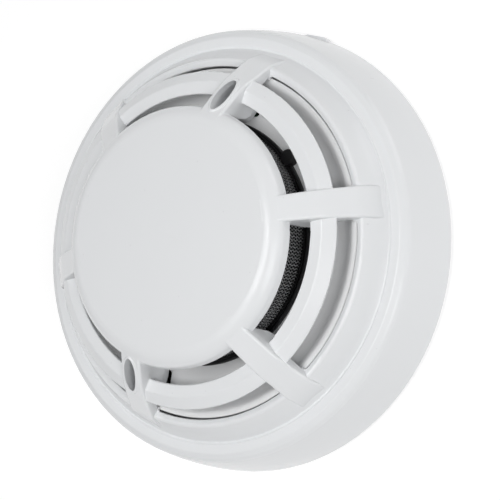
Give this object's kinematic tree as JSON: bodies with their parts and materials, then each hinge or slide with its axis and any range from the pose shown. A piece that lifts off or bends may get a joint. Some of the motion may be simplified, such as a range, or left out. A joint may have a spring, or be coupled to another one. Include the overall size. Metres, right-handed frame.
{
  "type": "heat detector",
  "caption": "Round ceiling detector head with a plain cap held by six spokes over ring-shaped air slots, on a twist-lock base with wiring terminals.",
  "frame": {"origin": "centre of the flat mounting face at the back of the base", "axes": "+Z out of the mounting surface along the device axis, towards the face; +Y through one of the two spokes with an indicator window"},
  "size_m": [0.0994, 0.0998, 0.0333],
  "materials": {
    "white_gloss": "smooth gloss moulded plastic",
    "white_satin": "satin moulded plastic",
    "black_plastic": "matt black moulded plastic",
    "black_mesh": "black coated wire",
    "emitter_lens": "clear tinted resin",
    "diode_lens": "dark infrared resin",
    "indicator_smoke": "smoked lamp resin",
    "thermistor_bead": "dipped resin",
    "board_green": "solder mask",
    "screw_steel": "zinc plated",
    "chip_black": "moulded package",
    "chip_ceramic": "ceramic",
    "capacitor_can": "drawn can",
    "tinned_steel": "tinned",
    "contact_brass": "stamped",
    "seal_rubber": "matt rubber"
  },
  "bodies": {
    "base": {"mounting_base": "white_satin", "base_contacts": "contact_brass", "terminal_clamps": "tinned_steel", "terminal_screws": "screw_steel"},
    "seal": {"seal_ring": "seal_rubber"},
    "head": {"front_cover": "white_gloss", "head_chassis": "white_satin", "chamber_base": "black_plastic", "chamber_cover": "black_plastic", "insect_mesh": "black_mesh", "ir_emitter": "emitter_lens", "photodiode": "diode_lens", "indicator_leds": "indicator_smoke", "thermistor": "thermistor_bead", "pcb": "board_green", "pcb_screws": "screw_steel", "controller_ic": "chip_black", "regulator": "chip_black", "chip_parts": "chip_ceramic", "capacitors": "capacitor_can", "shield_can": "tinned_steel", "rear_housing": "white_satin", "cover_screws": "screw_steel", "head_contacts": "contact_brass"}
  },
  "joints": [
    {"name": "head_pull", "type": "slide", "parent": "base", "child": "seal", "axis": [0, 0, 1], "range_m": [0, 0.04]},
    {"name": "head_twist", "type": "hinge", "parent": "seal", "child": "head", "pos_m": [0, 0, 0], "axis": [0, 0, 1], "range_deg": [-18, 0]}
  ]
}
